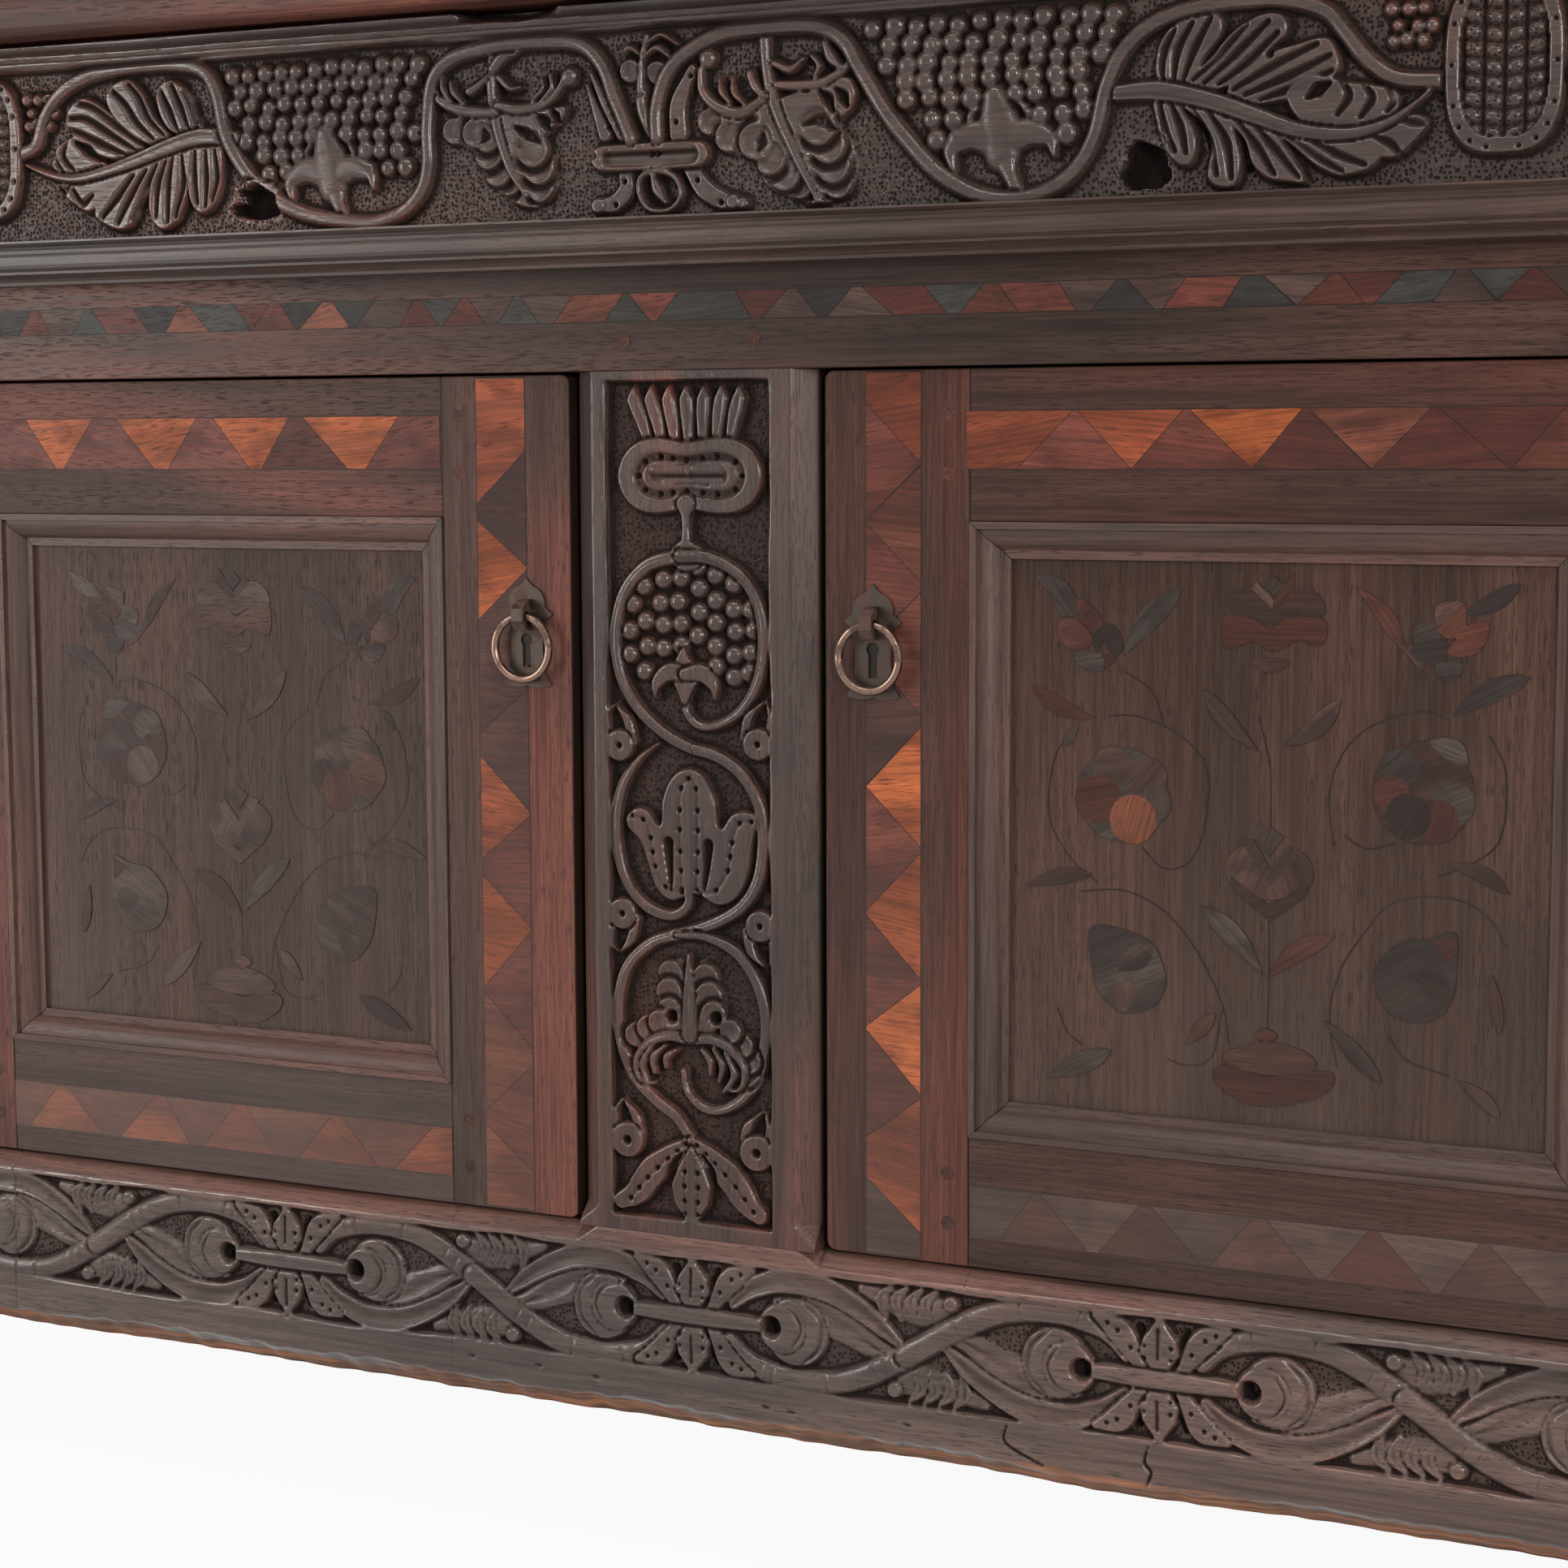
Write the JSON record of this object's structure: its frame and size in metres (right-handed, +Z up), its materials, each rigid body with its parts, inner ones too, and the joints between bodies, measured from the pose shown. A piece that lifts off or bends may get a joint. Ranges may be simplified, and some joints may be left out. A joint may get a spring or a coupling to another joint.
{
  "type": "court cupboard",
  "caption": "Two-stage framed oak court cupboard with carved vine frieze and muntin, inlaid lower doors with iron ring pulls, turned columns and a carved cornice.",
  "frame": {"origin": "on the floor, under the middle of the whole cupboard", "axes": "+X to the right of someone facing the front, +Y to the back, +Z up; the front faces -Y"},
  "size_m": [1.436, 0.54, 1.58],
  "materials": {
    "carved_oak": "old wax polish over near-black oak, worn to red-brown on the high places",
    "inlaid_oak": "waxed oak inlaid with orange-red, red-brown and grey-green triangles",
    "panel_oak": "waxed quarter-sawn oak with faded floral marquetry",
    "plain_oak": "dry unpolished oak boards",
    "wrought_iron": "dark forged iron, slightly rusted",
    "worn_iron": "iron polished by handling, brown in the hollows"
  },
  "bodies": {
    "carcass": {"back_boards": "plain_oak", "back_posts": "plain_oak", "back_rails": "plain_oak", "bottom_boards": "plain_oak", "bottom_rail": "carved_oak", "carcass_hinge_leaves": "wrought_iron", "centre_muntin": "carved_oak", "cornice_boards": "carved_oak", "cornice_frieze": "carved_oak", "cornice_moulding": "carved_oak", "cornice_soffit": "carved_oak", "frame_pegs": "carved_oak", "frieze_blocks": "carved_oak", "frieze_board": "carved_oak", "frieze_moulding": "carved_oak", "front_posts": "carved_oak", "inlaid_top_rail": "inlaid_oak", "ledge_boards": "carved_oak", "shelf_bearers": "plain_oak", "shelf_boards": "plain_oak", "side_panels": "carved_oak", "side_rails": "carved_oak", "turned_columns": "carved_oak", "upper_back_boards": "plain_oak", "upper_centre_panel": "carved_oak", "upper_muntins": "carved_oak", "upper_pivot_pins": "wrought_iron", "upper_posts": "carved_oak", "upper_rails": "carved_oak", "upper_side_panels": "carved_oak"},
    "bolt_left": {"door_left_lock_bolt": "worn_iron"},
    "bolt_right": {"door_right_lock_bolt": "worn_iron"},
    "door_left": {"door_left_bottom_rail": "inlaid_oak", "door_left_hinge_leaves": "wrought_iron", "door_left_hinge_stile": "inlaid_oak", "door_left_lock_case": "wrought_iron", "door_left_lock_stile": "inlaid_oak", "door_left_moulding": "carved_oak", "door_left_panel": "panel_oak", "door_left_pegs": "carved_oak", "door_left_ring_plate": "wrought_iron", "door_left_top_rail": "inlaid_oak"},
    "door_right": {"door_right_bottom_rail": "inlaid_oak", "door_right_hinge_leaves": "wrought_iron", "door_right_hinge_stile": "inlaid_oak", "door_right_lock_case": "wrought_iron", "door_right_lock_stile": "inlaid_oak", "door_right_moulding": "carved_oak", "door_right_panel": "panel_oak", "door_right_pegs": "carved_oak", "door_right_ring_plate": "wrought_iron", "door_right_top_rail": "inlaid_oak"},
    "ring_left": {"door_left_ring": "worn_iron"},
    "ring_right": {"door_right_ring": "worn_iron"},
    "upper_door_left": {"upper_door_left_frame": "carved_oak", "upper_door_left_knob": "carved_oak", "upper_door_left_panel": "panel_oak"},
    "upper_door_right": {"upper_door_right_frame": "carved_oak", "upper_door_right_knob": "carved_oak", "upper_door_right_panel": "panel_oak"}
  },
  "joints": [
    {"name": "door_left_hinge", "type": "hinge", "parent": "carcass", "child": "door_left", "pos_m": [-0.6185, -0.208, 0.48], "axis": [0, 0, -1], "range_deg": [0, 115]},
    {"name": "ring_left_swing", "type": "hinge", "parent": "door_left", "child": "ring_left", "pos_m": [-0.116, -0.2035, 0.5932], "axis": [-1, 0, 0], "range_deg": [-4, 150]},
    {"name": "bolt_left_slide", "type": "slide", "parent": "door_left", "child": "bolt_left", "axis": [1, 0, 0], "range_m": [0, 0.017]},
    {"name": "upper_door_left_hinge", "type": "hinge", "parent": "carcass", "child": "upper_door_left", "pos_m": [-0.607, -0.06, 1.218], "axis": [0, 0, -1], "range_deg": [0, 88]},
    {"name": "door_right_hinge", "type": "hinge", "parent": "carcass", "child": "door_right", "pos_m": [0.6185, -0.208, 0.48], "axis": [0, 0, 1], "range_deg": [0, 115]},
    {"name": "ring_right_swing", "type": "hinge", "parent": "door_right", "child": "ring_right", "pos_m": [0.116, -0.2035, 0.5932], "axis": [-1, 0, 0], "range_deg": [-4, 150]},
    {"name": "bolt_right_slide", "type": "slide", "parent": "door_right", "child": "bolt_right", "axis": [-1, 0, 0], "range_m": [0, 0.017]},
    {"name": "upper_door_right_hinge", "type": "hinge", "parent": "carcass", "child": "upper_door_right", "pos_m": [0.607, -0.06, 1.218], "axis": [0, 0, 1], "range_deg": [0, 88]}
  ]
}
